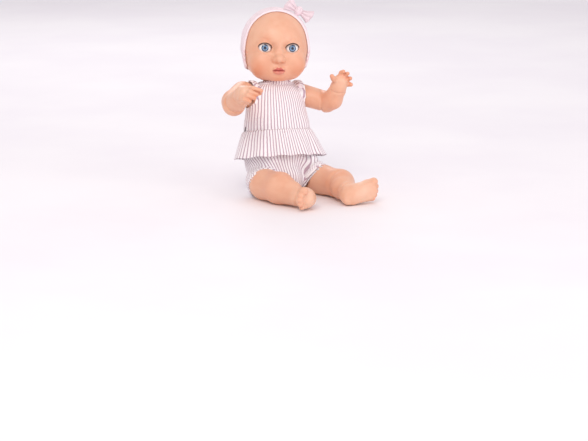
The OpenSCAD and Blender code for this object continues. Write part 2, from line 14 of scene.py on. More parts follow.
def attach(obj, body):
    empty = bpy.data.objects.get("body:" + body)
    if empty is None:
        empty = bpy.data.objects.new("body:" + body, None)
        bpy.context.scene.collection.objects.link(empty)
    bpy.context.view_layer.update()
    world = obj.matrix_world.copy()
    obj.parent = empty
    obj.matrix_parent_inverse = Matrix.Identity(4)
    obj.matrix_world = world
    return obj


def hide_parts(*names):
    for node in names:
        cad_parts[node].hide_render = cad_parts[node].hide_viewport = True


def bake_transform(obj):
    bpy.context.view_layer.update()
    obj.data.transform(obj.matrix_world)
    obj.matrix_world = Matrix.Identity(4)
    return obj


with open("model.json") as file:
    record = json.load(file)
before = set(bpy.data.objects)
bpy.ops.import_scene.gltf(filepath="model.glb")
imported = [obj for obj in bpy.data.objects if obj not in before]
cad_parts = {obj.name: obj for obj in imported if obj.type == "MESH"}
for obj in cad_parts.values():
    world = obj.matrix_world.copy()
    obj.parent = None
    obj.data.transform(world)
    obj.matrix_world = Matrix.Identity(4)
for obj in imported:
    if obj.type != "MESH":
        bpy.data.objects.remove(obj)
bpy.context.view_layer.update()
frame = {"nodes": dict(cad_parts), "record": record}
MM = 0.001
# The meshes' finest cells
HEAD_STEP, LIMB_STEP, CLOTH_STEP, BAND_STEP = ((0.85, 0.9, 0.75, 0.9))

# ---- places


def rotation(axis, degrees):
    """A rotation matrix about one axis."""
    c, s = math.cos(math.radians(degrees)), math.sin(math.radians(degrees))
    return np.array(
        {
            "x": [[1, 0, 0], [0, c, -s], [0, s, c]],
            "y": [[c, 0, s], [0, 1, 0], [-s, 0, c]],
            "z": [[c, -s, 0], [s, c, 0], [0, 0, 1]],
        }[axis]
    )


class Place:
    """A local frame in the doll's frame: `out` takes its points to the doll's frame, `into` back."""

    def __init__(self, origin, axes):
        self.origin, self.axes = np.array(origin, float), axes

    def out(self, p):
        return np.asarray(p, float) @ self.axes.T + self.origin

    def into(self, p):
        return (np.asarray(p, float) - self.origin) @ self.axes


DOLL = Place((0, 0, 0), np.eye(3))
TORSO = Place((0, 4, 0), rotation("y", 2.5) @ rotation("x", -13))
NECK = Place(TORSO.out((0, 0, 134)), TORSO.axes @ rotation("y", 1) @ rotation("x", 8.5))
HEAD = Place(NECK.origin, NECK.axes @ rotation("z", -17))
BOW = Place(HEAD.out((25.8, 0, 92.4)), HEAD.axes @ rotation("y", 31) @ rotation("x", 2))
SHOULDER_Z = 124.5  # the arms' axis runs along the torso's x at y 0 and this height
HIP = (0, -5, 18.8)  # the legs' axis runs along the doll's x through here

# ---- distance fields
#
# A field takes points and gives their distance to a surface, negative inside it. join, carve and
# meet put two fields together with an edge rounded over about k.


def length(v):
    return np.sqrt((v * v).sum(-1))


def ball(p, centre, r):
    return length(p - centre) - r


def egg(p, centre, radii):
    q = (p - centre) / radii
    k = length(q)
    return k * (k - 1) / np.maximum(length(q / radii), 1e-9)


def cone(p, a, b, ra, rb):
    a, b = np.array(a, float), np.array(b, float)
    t = np.clip((p - a) @ (b - a) / ((b - a) @ (b - a)), 0, 1)
    return length(p - a - t[:, None] * (b - a)) - (ra + (rb - ra) * t)


def join(f, g, k):
    h = np.clip(0.5 + 0.5 * (g - f) / k, 0, 1)
    return g * (1 - h) + f * h - k * h * (1 - h)


def join_all(parts, k):
    f, *rest = parts
    for part in rest:
        f = join(f, part, k)
    return f


def carve(f, g, k):
    return -join(-f, g, k)


def meet(f, g, k):
    return -join(-f, -g, k)


def both(*fields):
    """The sharp overlap of fields."""
    return np.maximum.reduce(fields)


def cut(f, g):
    """f without g, sharply."""
    return np.maximum(f, -g)


def dome(distance, width):
    """1 at distance 0, fading to 0 over a few widths."""
    return np.exp(-((distance / width) ** 2))


def rise(x, start, end):
    """0 before start, 1 after end and smooth between them."""
    t = np.clip((x - start) / (end - start), 0, 1)
    return t * t * (3 - 2 * t)


def mirrored(p):
    """Points moved to the doll's left side, for a shape with two equal halves."""
    return np.column_stack([np.abs(p[:, 0]), p[:, 1], p[:, 2]])


def waves(p, pitch, seed):
    """Smooth seeded noise of about -1 to 1 with bumps about `pitch` across."""
    rng = np.random.default_rng(seed)
    total = np.zeros(len(p))
    for _ in range(9):
        way = rng.normal(size=3)
        way *= rng.uniform(0.7, 1.4) * math.pi / pitch / np.linalg.norm(way)
        total += np.sin(p @ way + rng.uniform(0, 6.3))
    return total / 3


# ---- meshing

BLOCK = 4  # fine cells along a coarse one
NEAR = 4.6  # a coarse cell is refined within this many fine cells of the surface
AT_ONCE = 400000  # fine cells worked out together


def settle(points, field, most):
    """Moves points onto the field's zero level."""
    nudge = 0.03
    for _ in range(2):
        f = field(points)
        slope = np.column_stack([(field(points + way * nudge) - f) / nudge for way in np.eye(3)])
        step = np.clip(f, -most, most) / np.maximum((slope**2).sum(1), 0.3)
        points = points - step[:, None] * slope
    return points


def surface(field, low, high, step, rounds=2):
    """A closed quad mesh on the zero level of the field, by surface nets."""
    low = np.array(low, float)
    coarse = np.ceil((np.array(high, float) - low) / (step * BLOCK)).astype(int)
    where = np.indices(coarse).reshape(3, -1).T
    rough = field(low + step * BLOCK * (where + 0.5))
    values = rough.reshape(coarse)
    for axis in range(3):
        values = np.repeat(values, BLOCK, axis)
    near = where[np.abs(rough) < NEAR * step]
    inner = np.indices((BLOCK,) * 3).reshape(3, -1).T
    cells = (near[:, None, :] * BLOCK + inner[None]).reshape(-1, 3)
    parts = np.array_split(cells, 1 + len(cells) // AT_ONCE)
    values[tuple(cells.T)] = np.concatenate([field(low + step * (part + 0.5)) for part in parts])
    inside = values < 0
    ends = (slice(None, -1), slice(1, None))
    count = sum(inside[i, j, k].astype(np.int8) for i in ends for j in ends for k in ends)
    active = (count > 0) & (count < 8)
    ids = np.full(active.shape, -1)
    ids[active] = np.arange(active.sum())
    at = np.argwhere(active)
    total, hits = np.zeros((len(at), 3)), np.zeros(len(at))
    for axis, along in enumerate(np.eye(3, dtype=int)):
        for corner in ((0, 0), (0, 1), (1, 0), (1, 1)):
            a = np.insert(corner, axis, 0)
            va, vb = values[tuple((at + a).T)], values[tuple((at + a + along).T)]
            crossed = (va < 0) != (vb < 0)
            t = np.where(crossed, va / np.where(crossed, va - vb, 1), 0)
            total += np.where(crossed[:, None], a + t[:, None] * along, 0)
            hits += crossed
    points = low + step * (at + total / hits[:, None] + 0.5)
    faces = []
    for axis in range(3):
        first, second = [slice(1, -1)] * 3, [slice(1, -1)] * 3
        first[axis], second[axis] = ends
        a, b = inside[tuple(first)], inside[tuple(second)]
        edge = np.argwhere(a != b)
        solid_first = a[tuple(edge.T)]
        along, back_u, back_w = np.roll(np.eye(3, dtype=int), -axis, 0)
        corner = edge + 1 - along
        ring = [corner, corner - back_u, corner - back_u - back_w, corner - back_w]
        quad = np.column_stack([ids[tuple(r.T)] for r in ring])
        faces.append(np.where(solid_first[:, None], quad, quad[:, ::-1]))
    faces = np.concatenate(faces)
    faces = faces[(faces >= 0).all(1)]
    tail = np.concatenate([faces.ravel(), np.roll(faces, -1, 1).ravel()])
    head = np.concatenate([np.roll(faces, -1, 1).ravel(), faces.ravel()])
    valence = np.bincount(tail, minlength=len(points))[:, None]
    for _ in range(rounds):
        mean = np.column_stack([np.bincount(tail, points[head, i], len(points)) for i in range(3)])
        points = settle((points + mean / valence) / 2, field, step)
    return points, faces


def grid_faces(rows, columns, closed=True):
    """Quads of a grid of points; a closed grid's last column is joined to its first."""
    i, j = np.indices((rows - 1, columns if closed else columns - 1)).reshape(2, -1)
    k = (j + 1) % columns
    this, after = i * columns, (i + 1) * columns
    return np.column_stack([this + j, this + k, after + k, after + j])


def build(name, points, faces, place, material):
    """A mesh object from millimetre points in a place."""
    points = place.out(points) * MM
    mesh = bpy.data.meshes.new(name)
    sizes = [len(f) for f in faces]
    flat = np.concatenate(list(faces))
    mesh.vertices.add(len(points))
    mesh.vertices.foreach_set("co", points.astype(np.float32).ravel())
    mesh.loops.add(len(flat))
    mesh.loops.foreach_set("vertex_index", np.asarray(flat, np.int32))
    mesh.polygons.add(len(sizes))
    starts = np.concatenate([[0], np.cumsum(sizes)[:-1]])
    mesh.polygons.foreach_set("loop_start", starts.astype(np.int32))
    mesh.update(calc_edges=True)
    mesh.validate()
    mesh.shade_smooth()
    made = bpy.data.objects.new(name, mesh)
    bpy.context.scene.collection.objects.link(made)
    made.data.materials.append(material)
    return made


def record_value(made, name, values):
    """Stores one number for each vertex, for the materials to read."""
    layer = made.data.attributes.new(name, "FLOAT", "POINT")
    layer.data.foreach_set("value", np.asarray(values, np.float32))


def front(field, x, z):
    """The y of the field's surface, looking at the face at (x, z)."""
    ys = np.linspace(-70, 10, 400)
    f = field(np.column_stack([np.full_like(ys, x), ys, np.full_like(ys, z)]))
    i = int(np.argmax(f < 0))
    t = f[i - 1] / (f[i - 1] - f[i])
    return ys[i - 1] + t * (ys[i] - ys[i - 1])


# ---- materials


def linear(code):
    """A hex colour as linear RGBA."""
    raw = [int(code[i : i + 2], 16) / 255 for i in (1, 3, 5)]
    return [x / 12.92 if x <= 0.04045 else ((x + 0.055) / 1.055) ** 2.4 for x in raw] + [1.0]


class Shader:
    """A node material: each call adds a node and returns the output it is wanted for."""

    def __init__(self, name, rough=0.5, **settings):
        self.material = bpy.data.materials.new(name)
        self.material.use_nodes = True
        self.tree = self.material.node_tree
        self.surface = self.tree.nodes["Principled BSDF"]
        self.set("Roughness", rough)
        for key, value in settings.items():
            self.set(key.replace("_", " "), value)
        self.where = self.node("TexCoord", out="Object")

    def node(self, kind, inputs=(), out=0, **settings):
        made = self.tree.nodes.new("ShaderNode" + kind)
        for key, value in settings.items():
            setattr(made, key, value)
        for key, value in dict(inputs).items():
            self.put(made.inputs[key], value)
        return made.outputs[out]

    def put(self, socket, value):
        """Links an output to a socket, or sets its number or hex colour."""
        if isinstance(value, bpy.types.NodeSocket):
            self.tree.links.new(value, socket)
        else:
            socket.default_value = linear(value) if isinstance(value, str) else value

    def set(self, name, value):
        self.put(self.surface.inputs[name], value)

    def calc(self, operation, a, b=0.5):
        return self.node("Math", {0: a, 1: b}, operation=operation)

    def mix(self, share, a, b):
        return self.node("Mix", {0: share, 6: a, 7: b}, out=2, data_type="RGBA")

    def value(self, name):
        return self.node("Attribute", attribute_name=name, out="Fac")

    def noise(self, scale, detail=2.0, where=None):
        return self.node("TexNoise", {"Vector": where or self.where, "Scale": scale, "Detail": detail})

    def noise_over(self, x, y, scale, detail):
        """Noise over two stored values, where the object's own space won't do."""
        return self.noise(scale, detail, self.node("CombineXYZ", {0: x, 1: y}))

    def spread(self, value, low, high, to_low=0.0, to_high=1.0):
        """The value taken smoothly from low..high to to_low..to_high, and held outside them."""
        return self.node(
            "MapRange",
            {"Value": value, 1: low, 2: high, 3: to_low, 4: to_high},
            interpolation_type="SMOOTHSTEP",
        )

    def bump(self, height, distance, strength):
        raised = {"Height": height, "Distance": distance, "Strength": strength}
        self.set("Normal", self.node("Bump", raised))


# ---- head

EYE = np.array([17.3, -23.5, 51.5])  # the doll's left eye; the face is symmetrical
EYE_R = 10.5
VINYL = 2.8  # thickness of the head's wall
LIPS_Z = 23.4
RIM_LOW, RIM_HIGH = 9, 23  # the neck rim's ends
RIM_R, NECK_HOLE_R = 18.4, 15.3


def head_form(p):
    """The skull with its cheeks, jaw and chin, without features."""
    q = mirrored(p)
    f = join(egg(p, (0, 5, 58), (41.3, 43.3, 42)), egg(p, (0, -8, 46), (39, 29.3, 30)), 7)
    f = join(f, ball(q, (18.5, -16.5, 30), 16.8), 8)
    f = join(f, ball(q, (21.5, 1, 32.5), 15.5), 8)
    f = join(f, egg(p, (0, -13, 19.5), (26, 21, 10.5)), 8)
    return join(f, ball(p, (0, -24.5, 20), 10.8), 8)


def lid_opening(q):
    """The almond between the lids, seen from the front."""
    u = (q[:, 0] - EYE[0] - 0.1) / 8.6
    v = q[:, 2] - EYE[2] + 0.3 - 0.06 * (q[:, 0] - EYE[0])
    v = v / np.where(v > 0, 5.9, 5.5)
    return (np.sqrt(u * u + np.abs(v) ** 1.85) - 1) * 6


def plain_face(p):
    """The head with its nose, muzzle and eye hollows, before lids and lips."""
    q = mirrored(p)
    f = head_form(p)
    f = join(f, egg(p, (0, -26, 24), (14.5, 12.3, 12.5)), 7)
    f = join(f, egg(q, (21.5, -24.5, 32), (13, 11.8, 12)), 7)
    f = carve(f, egg(q, (13.5, -46.2, 52), (11, 10.3, 8.5)), 8)
    f = carve(f, egg(q, (9.6, -41.8, 51.2), (5.2, 9.6, 5.6)), 4)
    f = join(f, cone(p, (0, -31.5, 47), (0, -38.6, 39), 2.2, 4.0), 6)
    f = join(f, ball(p, (0, -40.4, 37.6), 5.2), 3)
    f = join(f, ball(q, (5.3, -37.6, 36.2), 3.4), 2.2)
    return carve(f, egg(q, (3.0, -41.6, 32.6), (1.8, 2.3, 1.2)), 0.9)


MOUTH_Y = front(plain_face, 0, LIPS_Z)
SIDE_LIP_Y = front(plain_face, 5.2, LIPS_Z)


def lip_line(x):
    """The height of the line between the lips; its ends turn down a little."""
    return LIPS_Z - 0.7 * (np.abs(x) / 8) ** 2 - 0.3 * dome(x, 1.6)


def upper_lip(x):
    """The height of the upper lip's M-shaped edge above the line between the lips."""
    return 4.0 * (1 - rise(np.abs(x), 1.2, 8.2)) - 0.9 * dome(x, 1.3)


def lower_lip(x):
    """How far the lower lip reaches below that line."""
    return 5.2 * np.sqrt(np.clip(1 - (x / 7.6) ** 2, 0, 1))


def closed_face(p, plain=None):
    """The face with its lids and lips, before the eye openings."""
    q = mirrored(p)
    f = plain_face(p) if plain is None else plain
    f = join(f, ball(q, EYE, EYE_R + 1.35), 3.2)
    f = f + 0.25 * dome(ball(q, EYE + (0, -1.5, 1.4), EYE_R + 2.6), 0.7) * rise(q[:, 2], 56, 59)
    f = join(f, egg(q, (3.1, MOUTH_Y + 1.0, LIPS_Z + 1.9), (4.4, 2.7, 1.9)), 1.6)
    f = join(f, egg(q, (2.2, MOUTH_Y + 1.1, LIPS_Z - 2.6), (4.6, 3.0, 2.7)), 1.8)
    groove = (q[:, 2] - lip_line(q[:, 0])) / 0.75
    f = f + 1.1 * np.exp(-(groove**2)) * (1 - rise(q[:, 0], 6.2, 8.4)) * (p[:, 1] < -25)
    f = carve(f, egg(q, (8.2, SIDE_LIP_Y - 1.2, LIPS_Z - 1.3), (1.7, 2.2, 1.4)), 2.2)
    f = carve(f, cone(p, (0, -43.8, 31.4), (0, MOUTH_Y - 1.4, 27.2), 1.2, 1.5), 1.6)
    chin_fold = dome(p[:, 2] - 16.6 - 0.02 * p[:, 0] ** 2, 1.9) * dome(p[:, 0], 9)
    return f + 0.7 * chin_fold * (p[:, 1] < -20)


def head_field(p):
    """The hollow vinyl head, with its neck rim and eye openings."""
    q = mirrored(p)
    plain = plain_face(p)
    f = closed_face(p, plain)
    ring = length(p[:, :2])
    f = join(f, both(ring - RIM_R, RIM_LOW - p[:, 2], p[:, 2] - RIM_HIGH), 1)
    f = meet(f, RIM_LOW + 0.2 - p[:, 2], 1.6)
    f = cut(f, both(both(head_form(p), plain) + VINYL, RIM_HIGH + 0.4 - p[:, 2]))
    f = cut(f, both(ring - NECK_HOLE_R, p[:, 2] - RIM_HIGH - 0.2))
    f = carve(f, both(lid_opening(q), p[:, 1] - EYE[1] + 2), 0.6)
    return cut(f, ball(q, EYE, EYE_R + 0.12))


def lip_paint(p):
    """1 on the upper lip and less on the lower one, with soft airbrushed edges."""
    x, z = p[:, 0], p[:, 2] - lip_line(p[:, 0])
    upper = rise(np.minimum(upper_lip(x) - z, z + 1.2), -0.4, 0.4) * (1 - rise(np.abs(x), 6.8, 8.2))
    lower = rise(np.minimum(z + lower_lip(x), 0.4 - z), -0.7, 0.7) * (1 - rise(np.abs(x), 6.6, 8))
    middle = dome(length(np.column_stack([x / 3.4, (z + 0.8) / 1.6])), 1)
    return np.clip(np.maximum(0.85 * upper, 0.5 * lower + 0.3 * middle), 0, 1) * (p[:, 1] < -28)


def mouth_shade(p):
    """Dark red in the line between the lips, part paint and part painted shade in its groove, and a
    little painted shade in the nostrils.
    """
    off_line = (p[:, 2] - lip_line(p[:, 0])) / 0.6
    line = np.exp(-(off_line**2)) * (np.abs(p[:, 0]) < 8) * (p[:, 1] < -30)
    nostrils = dome(length((mirrored(p) - (3.4, -40.5, 32.4)) * (0.6, 1, 1)), 1.3)
    return np.clip(0.9 * line + 0.3 * nostrils, 0, 1)


def head_blush(p):
    """Airbrushed pink on the cheeks and brows, and painted shade round the nostrils, under the chin and
    along the jaw.
    """
    q = mirrored(p)
    # Pink paint on the cheeks and brows; the spot by the nostrils is painted shade.
    spots = (((25, -30, 25), 13, 0.75), ((17, -36, 62), 6, 0.35), ((3.5, -39.5, 33.5), 4, 0.4))
    total = sum(share * dome(length(q - centre), r) for centre, r, share in spots)
    # Painted shade under the chin and along the underside of the jaw.
    total += 0.5 * dome(length(p - (0, -36, 12.5)), 8) + 0.45 * rise(-q[:, 2], -16, -9)
    return np.clip(total, 0, 1)


def sculpt(name, field, low, high, step, place, body, node):
    """A piece of the vinyl skin, and its points in its own place."""
    points, faces = surface(field, low, high, step)
    made = build(name, points, faces, place, skin.material)
    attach(made, body)
    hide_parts(node)
    return made, points


# ---- skin material

skin = Shader("skin_vinyl", 0.4, Subsurface_Weight=0.1, Subsurface_Scale=0.004)
skin.set("Subsurface Radius", (1.0, 0.42, 0.25))
skin.set("Coat Weight", 0.12)
skin.set("Coat Roughness", 0.32)
mottle = skin.spread(skin.noise(60, 3), 0.3, 0.7)
tone = skin.mix(mottle, "#ebb697", "#e6ab8b")
tone = skin.mix(skin.value("pale"), tone, "#f2ceb3")
# Airbrushed pink, together with painted shade under the nose, chin and knees and in the bend of the
# elbows.
tone = skin.mix(skin.calc("MULTIPLY", skin.value("blush"), 0.7), tone, "#e28a62")
tone = skin.mix(skin.value("lips"), tone, "#cf5f5c")
# Dark red lip line, with painted shade in the lips' groove and in the nostrils.
tone = skin.mix(skin.value("dark"), tone, "#a8433c")
skin.set("Base Color", tone)
skin.set("Roughness", skin.spread(skin.noise(160, 3), 0.3, 0.7, 0.36, 0.46))
skin.bump(skin.noise(900, 2), 0.0001, 0.25)


def paint(made, points, **masks):
    """Stores the skin's airbrushed colours and painted shade, each from 0 to 1."""
    for name in ("pale", "blush", "lips", "dark"):
        record_value(made, name, masks.get(name, np.zeros(len(points))))


head_skin, at = sculpt(
    "head_skin", head_field, (-45, -47, 6), (45, 51, 102), HEAD_STEP, HEAD, "head", "head_shell"
)
paint(head_skin, at, blush=head_blush(at), lips=lip_paint(at), dark=mouth_shade(at))

# ---- limbs
#
# An arm, palm, leg or foot is a row of stations, each an x, y, z and radius, from the joint
# outwards. A finger is its root, middle and tip, the thumb last; a toe is its root and tip.

RIGHT_ARM = [(-40, 31, 126, 15.5), (-60, 14, 119, 15), (-65.3, 2, 117.6, 13.9), (-66.5, -28, 133, 11.5)]
RIGHT_PALM = [(-68.5, -34, 136.5, 10), (-69, -41, 138.2, 9)]
RIGHT_FINGERS = [
    [(-67, -41, 143.9), (-62.3, -50, 145), (-54.4, -57, 142.4)],
    [(-70.5, -42, 139.8), (-67, -52, 141), (-60.3, -58, 138.4)],
    [(-73, -42, 135.5), (-70.3, -52, 136.7), (-63.8, -58, 134.1)],
    [(-75, -42, 131.3), (-73.7, -50, 132.2), (-69.3, -56, 130.2)],
    [(-62, -38, 138), (-57, -45, 138.8), (-53.5, -51, 138.5)],
]
LEFT_ARM = [(45, 31.5, 118.3, 14), (68, 9, 111, 13.1), (72, 0, 115, 12.5), (75.6, -8, 129.5, 10.6)]
LEFT_PALM = [(75.6, -9.5, 133, 9.4), (77.6, -10.6, 139, 9.6)]
LEFT_FINGERS = [
    [(76.2, -12, 146), (77.6, -14, 151), (78.5, -17.5, 153)],
    [(80.6, -12.5, 144.5), (83.2, -14.5, 148.6), (84.4, -18, 150)],
    [(83.8, -12.5, 140.7), (87.2, -14.5, 142.8), (88.2, -18, 143.6)],
    [(84.8, -12, 135.8), (88.4, -14, 135.7), (89.6, -17.2, 135.4)],
    [(71, -12, 140), (65.6, -15, 144.5), (62.6, -17, 148)],
]
RIGHT_LEG = [(-29, -5, 18.8, 18.5), (-38, -32, 19.3, 19), (-32, -64, 19.6, 19.5), (-22, -97, 14, 11.5)]
RIGHT_FOOT = [(-15, -104, 13, 11.5), (-20, -112, 13.5, 11)]
RIGHT_TOES = [
    [(-22, -113, 23), (-27, -121, 26)],
    [(-25, -115, 19), (-31.5, -122.5, 21)],
    [(-26.5, -115.5, 14.5), (-33, -123, 16)],
    [(-26, -114.5, 10), (-32, -122, 11)],
    [(-23, -113, 6.5), (-28.5, -119.5, 6.3)],
]
LEFT_LEG = [(29, -5, 18.8, 18.5), (42, -34, 18.6, 18.3), (50.5, -66, 18.6, 17.5), (45, -98, 14.5, 12)]
LEFT_FOOT = [(46.5, -108, 12, 11.5), (58, -108, 13, 11)]
LEFT_TOES = [
    [(68, -108, 24), (75, -110, 27)],
    [(69.5, -108, 18.5), (77.3, -110, 21)],
    [(69.5, -108, 13.5), (77.5, -109.5, 15.2)],
    [(68.5, -107.5, 9.5), (76.8, -108.5, 10)],
    [(66.5, -107, 6.8), (75, -107.5, 5.8)],
]
RIGHT_INSTEP, RIGHT_CALF = [(-17, -103, 16, 10), (-19, -111, 17, 9.5)], (-25, -82, 17, 14.5)
LEFT_INSTEP, LEFT_CALF = [(42, -106, 13, 11.5), (65, -106.5, 17.5, 10.5)], (44, -83, 16.5, 14)
TOE_R = [(6, 5.4), (5.2, 4.3), (5, 4), (4.8, 3.8), (4.6, 3.6)]
FINGER_R, THUMB_R = (3.3, 3.0, 2.6), (4, 3.3, 2.8)
LIMB_WALL = 2.6
ARM_FACE, LEG_FACE = 34.4, 22.4  # how far the limbs' flat inner faces are from the middle


def bone(p, a, b):
    """A cone from station to station."""
    return cone(p, a[:3], b[:3], a[3], b[3])


def chain(p, line, k):
    return join_all([bone(p, a, b) for a, b in zip(line, line[1:])], k)


def crease(p, at, towards, reach, depth, width=1.1):
    """A fold line round a limb at a point, as a rise in the field."""
    way = np.array(towards, float) - at
    way /= np.linalg.norm(way)
    away = p - np.array(at, float)
    return depth * dome(away @ way, width) * (1 - rise(length(away), reach, reach * 1.25))


def digits(p, fingers, radii, k):
    """Fingers or toes, each of one or two cones."""
    made = []
    for spots, r in zip(fingers, radii):
        bones = range(len(spots) - 1)
        made.append(join_all([cone(p, spots[i], spots[i + 1], r[i], r[i + 1]) for i in bones], 1.2))
    return join_all(made, k)


def arm_field(side, line, palm, fingers, fold):
    """A hollow arm with its hand; `fold` is a point in the elbow's crease and one across it."""

    def field(p):
        f = chain(p, line, 3)
        hand = cone(p, palm[0][:3], palm[1][:3], palm[0][3] * 0.98, palm[1][3] * 0.98)
        for finger in fingers[:4]:
            hand = join(hand, cone(p, palm[0][:3], finger[0], 6.5, 3.3), 2)
        hand = join(hand, digits(p, fingers[:4], [FINGER_R] * 4, 0.3), 1.2)
        hand = join(hand, digits(p, fingers[4:], [THUMB_R], 1), 1.5)
        f = join(f, bone(p, line[3], palm[0]), 2)
        f = join(f, hand, 2.5)
        f = f + crease(p, line[3][:3], palm[0][:3], 13, 1.1)
        f = f + crease(p, fold[0], fold[1], 17, 1.3, 1.6)
        f = cut(f, chain(p, line, 0.5) + LIMB_WALL)
        t = TORSO.into(p)
        x = t[:, 0] * side
        f = meet(f, ARM_FACE - x, 0.8)
        stub = length(t[:, 1:] - (0, SHOULDER_Z)) - 8.6
        return cut(f, both(stub, x - ARM_FACE - 2.8))

    return field


def leg_field(side, line, foot, toes, instep, calf):
    """A hollow leg with its foot, flat where it lies on the floor."""

    def field(p):
        f = chain(p, line, 5)
        inside = rise(side * (calf[0] + side * 6 - p[:, 0]), -2, 6)
        f = f + 1.6 * dome(p[:, 1] - calf[1] - 14, 3.5) * inside
        f = join(f, ball(p, calf[:3], calf[3]), 2.2)
        sole = bone(p, *foot)
        for toe, (r, _) in zip(toes, TOE_R):
            sole = join(sole, cone(p, foot[1][:3], toe[0], foot[1][3] * 0.8, r), 2)
        sole = join(sole, digits(p, toes, TOE_R, 0.3), 1.2)
        f = join(f, bone(p, line[3], foot[0]), 2.5)
        f = join(f, sole, 3)
        f = join(f, bone(p, *instep), 4)
        if side > 0:
            plate = cone(p * (1, 0, 1), (38.8, 0, 8.9), (66, 0, 16.5), 7.6, 12.2)
            f = join(f, meet(plate, np.abs(p[:, 1] + 110.5) - 6.5, 5), 1.5)
        f = f + crease(p, line[3][:3], foot[0][:3], 15, 1.0, 1.3)
        f = cut(f, chain(p, line, 0.5) + LIMB_WALL)
        x = p[:, 0] * side
        past_hip = p[:, 1] < -37.2
        f = meet(f, LEG_FACE - x - 200 * past_hip, 0.6)
        stub = length((p - HIP)[:, 1:]) - 8.1
        return both(cut(f, both(stub, x - LEG_FACE - 2.8)), 0.15 - p[:, 2])

    return field


def span(stations, margin):
    """The corners of a box round the stations, with a margin."""
    centres = np.array([s[:3] for s in stations], float)
    return centres.min(0) - margin, centres.max(0) + margin


for body, side, line, palm, fingers, fold in (
    ("right_arm", -1, RIGHT_ARM, RIGHT_PALM, RIGHT_FINGERS, [(-64.8, -4, 120), (-64.8, -8, 122.5)]),
    ("left_arm", 1, LEFT_ARM, LEFT_PALM, LEFT_FINGERS, [(57.5, 3.3, 112), (61.1, 1.6, 112)]),
):
    low, high = span(line + palm + [q for f in fingers for q in f], 16)
    field = arm_field(side, line, palm, fingers, fold)
    made, at = sculpt(body + "_skin", field, low, high, LIMB_STEP, DOLL, body, body)
    tips = sum(dome(length(at - f[-1]), 5.5) for f in fingers)
    # Round the elbows: airbrushed pink, and painted shade in their bend.
    elbow_pink_and_shade = dome(length(at - line[1][:3]), 13) + dome(length(at - line[2][:3]), 12)
    inner = dome(length(at - palm[1][:3]) - 4, 6)
    paint(made, at, blush=np.clip(0.5 * tips + 0.45 * elbow_pink_and_shade, 0, 1), pale=0.6 * inner)
for body, side, line, foot, toes, instep, calf in (
    ("right_leg", -1, RIGHT_LEG, RIGHT_FOOT, RIGHT_TOES, RIGHT_INSTEP, RIGHT_CALF),
    ("left_leg", 1, LEFT_LEG, LEFT_FOOT, LEFT_TOES, LEFT_INSTEP, LEFT_CALF),
):
    low, high = span(line + foot + [q for t in toes for q in t], 23)
    low[2] = -2  # just under the floor
    field = leg_field(side, line, foot, toes, instep, calf)
    made, at = sculpt(body + "_skin", field, low, high, LIMB_STEP, DOLL, body, body)
    tips = sum(dome(length(at - t[-1]), 5) for t in toes)
    # Round the knee: airbrushed pink, and painted shade under it where the leg lies near the floor.
    knee_pink_and_shade = dome(length(at - line[2][:3] - (0, 0, -12)), 14) + 0.6 * dome(length(at - line[2][:3]), 22)
    sole = dome(length(at - foot[1][:3]), 14)
    paint(made, at, blush=np.clip(0.35 * tips + 0.5 * knee_pink_and_shade, 0, 1), pale=0.8 * sole)

# ---- eyes
#
# gaze_angle is in degrees off the middle of the pupil, gaze_spin goes round it, and lid_angle is
# in degrees above the line of sight. The painted lid starts at 38.

eye = Shader("eye_plastic", 0.12, Coat_Weight=0.9, IOR=1.5)
eye.set("Coat Roughness", 0.03)
angle, spin = eye.value("gaze_angle"), eye.value("gaze_spin")
fibre = eye.noise_over(eye.calc("MULTIPLY", spin, 9.0), eye.calc("MULTIPLY", angle, 0.05), 2.2, 4.0)
iris = eye.mix(eye.spread(fibre, 0.32, 0.68), "#41638c", "#93b7d2")
lid = eye.value("lid_angle")
# The top of the iris is painted darker: painted shade from the upper lid.
iris = eye.mix(eye.calc("MULTIPLY", eye.spread(lid, -4, 26), 0.75), iris, "#2c4668")
iris = eye.mix(eye.spread(angle, 17, 22), iris, "#1d3050")
iris = eye.mix(eye.spread(angle, 8, 13), "#2a4c78", iris)
iris = eye.mix(eye.spread(angle, 7.5, 9), "#0a0f1c", iris)
white = eye.mix(eye.spread(angle, 33, 60), "#f7f5f2", "#e9d3ca")
eye_colour = eye.mix(eye.spread(angle, 25.2, 26.6), iris, white)
eye_colour = eye.mix(eye.spread(lid, 38.2, 38.8), eye_colour, "#3a2018")
eye.set("Base Color", eye.mix(eye.spread(lid, 41.2, 41.8), eye_colour, "#eda884"))
eye.set("Roughness", eye.spread(lid, 38, 39, 0.08, 0.42))

lash = Shader("lash_paint", 0.35)
lash.set("Base Color", lash.mix(lash.noise(700), "#3b211a", "#1f1210"))


def eyeball(name, side, node):
    """A round eye with a low dome over its iris, its poles on the line of sight."""
    rings, around = 56, 72
    gaze = rotation("z", 1.5 * side) @ rotation("x", 2.0)
    a, s = np.indices((rings + 1, around)).reshape(2, -1)
    a, s = math.pi * a / rings, 2 * math.pi * s / around
    r = EYE_R + 0.1 * (1 - rise(np.degrees(a), 16, 33))
    out = r * np.sin(a)
    points = np.column_stack([out * np.cos(s), -r * np.cos(a), out * np.sin(s)]) @ gaze.T
    faces = grid_faces(rings + 1, around)
    made = build(name, points + EYE * (side, 1, 1), faces, HEAD, eye.material)
    record_value(made, "gaze_angle", np.degrees(a))
    record_value(made, "gaze_spin", np.cos(s) * 3 + np.sin(2 * s))
    record_value(made, "lid_angle", np.degrees(np.arctan2(points[:, 2], -points[:, 1])))
    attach(made, "eyes")
    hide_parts(node)


eyeball("left_eye", 1, "left_eyeball")
eyeball("right_eye", -1, "right_eyeball")


